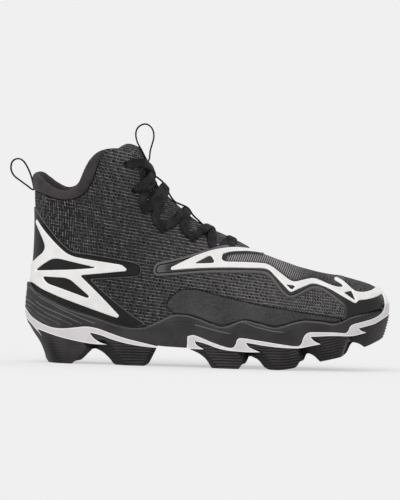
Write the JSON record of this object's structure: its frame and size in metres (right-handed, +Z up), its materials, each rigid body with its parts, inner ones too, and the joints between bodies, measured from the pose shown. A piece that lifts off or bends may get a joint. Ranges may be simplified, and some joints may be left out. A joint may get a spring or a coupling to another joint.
{
  "type": "baseball cleat",
  "caption": "Mid-cut baseball cleat, right shoe, with a woven dark upper, white moulded side frames, flat crossed laces, pull loops and a moulded studded sole.",
  "frame": {"origin": "on the floor under the middle of the shoe's bounding box", "axes": "+X from heel to toe, +Y to the medial side, +Z up"},
  "size_m": [0.3154, 0.1042, 0.199],
  "materials": {
    "upper_weave": "open woven mesh",
    "lining": "smooth knit",
    "midsole_foam": "matt moulded foam",
    "sole_plate": "satin moulded",
    "stud_rubber": "matt moulded",
    "dark_film": "satin film",
    "white_frame": "satin moulded film",
    "lace": "flat woven",
    "webbing": "woven tape"
  },
  "bodies": {
    "root": {"upper": "upper_weave", "collar_cuff": "lining", "tongue": "lining", "insole": "lining", "midsole": "midsole_foam", "heel_plate": "sole_plate", "forefoot_plate": "sole_plate", "heel_outsole": "stud_rubber", "forefoot_outsole": "stud_rubber", "heel_counter": "dark_film", "vamp_backing": "dark_film", "side_panel_lateral": "dark_film", "side_panel_medial": "dark_film", "heel_frame": "white_frame", "vamp_frame": "white_frame", "lace_crossing_1": "lace", "lace_crossing_2": "lace", "lace_crossing_3": "lace", "lace_crossing_4": "lace", "lace_crossing_5": "lace", "lace_crossing_6": "lace", "lace_keeper_lateral_3": "webbing", "lace_keeper_lateral_4": "webbing", "lace_keeper_lateral_5": "webbing", "lace_keeper_medial_3": "webbing", "lace_keeper_medial_4": "webbing", "lace_keeper_medial_5": "webbing", "heel_pull_loop": "webbing", "tongue_pull_loop": "webbing"}
  },
  "joints": []
}
